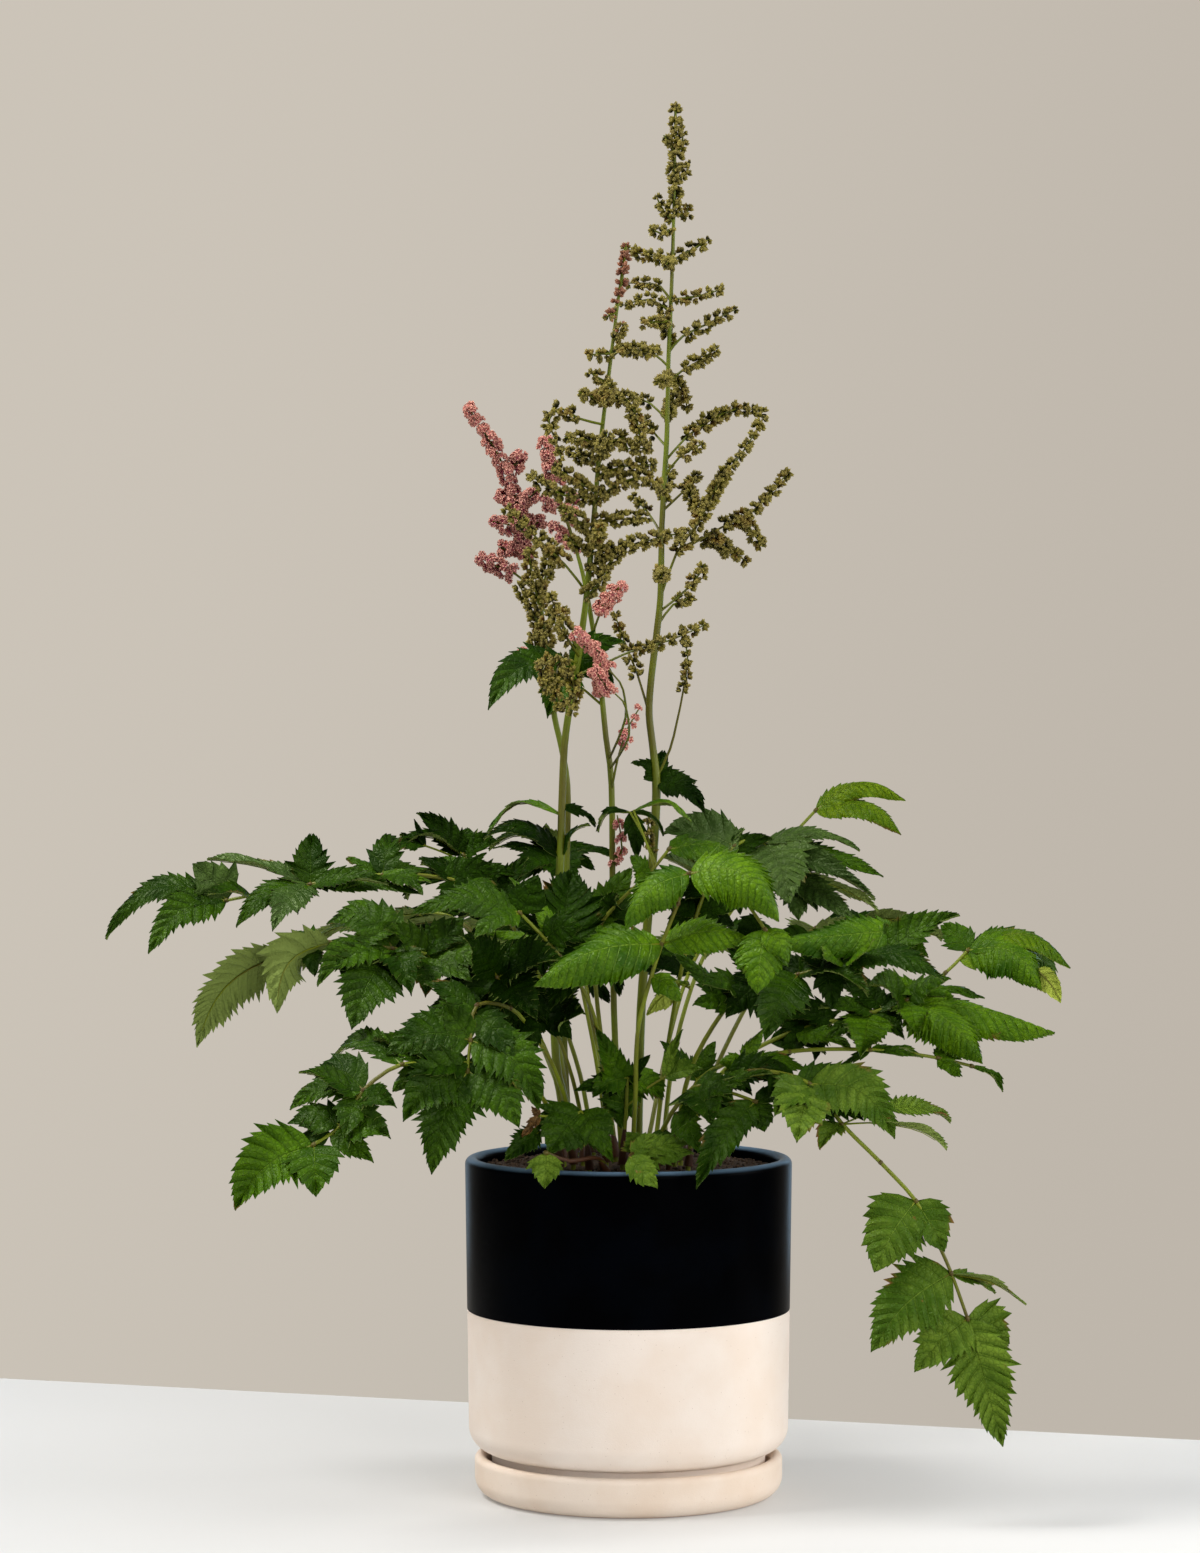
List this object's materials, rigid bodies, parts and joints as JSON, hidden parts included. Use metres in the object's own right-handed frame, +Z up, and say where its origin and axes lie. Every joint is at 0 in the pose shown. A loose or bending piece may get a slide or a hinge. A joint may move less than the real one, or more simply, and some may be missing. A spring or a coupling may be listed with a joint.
{
  "type": "potted astilbe plant",
  "caption": "Astilbe plant with toothed compound leaves and seed and pink flower plumes, in a two-tone stoneware pot on a saucer",
  "frame": {"origin": "Centre of the saucer's flat underside, on the surface that the part stands on", "axes": "+Z is up along the flower stalks, +X is to the right and +Y points away from the viewer of the front side, where the foliage overhangs the pot"},
  "size_m": [0.6023, 0.4377, 0.8678],
  "materials": {
    "bisque": "matte",
    "glaze": "satin",
    "soil": "matte",
    "leaf": "satin",
    "seed_stalk": "matte",
    "pink_stalk": "matte"
  },
  "bodies": {
    "root": {"saucer": "bisque", "pot": "glaze", "soil": "soil", "frond_left_high": "leaf", "frond_left_top": "leaf", "frond_centre_back": "leaf", "frond_left_mid": "leaf", "frond_left_dark": "leaf", "frond_left_low": "leaf", "frond_left_drooping": "leaf", "frond_centre_curled": "leaf", "frond_centre_bright": "leaf", "frond_centre_small": "leaf", "frond_right_high": "leaf", "frond_right_pair": "leaf", "frond_right_quilted": "leaf", "frond_right_far": "leaf", "frond_right_thin": "leaf", "frond_right_drooping": "leaf", "frond_low_left": "leaf", "frond_low_centre": "leaf", "frond_low_right": "leaf", "runner_left": "leaf", "runner_right": "leaf", "frond_back_left": "leaf", "frond_back_inner_left": "leaf", "frond_back_inner_right": "leaf", "frond_back_right": "leaf", "stalk_tall": "seed_stalk", "stalk_leaning": "seed_stalk", "stalk_short": "seed_stalk", "stalk_pink": "pink_stalk"}
  },
  "joints": []
}
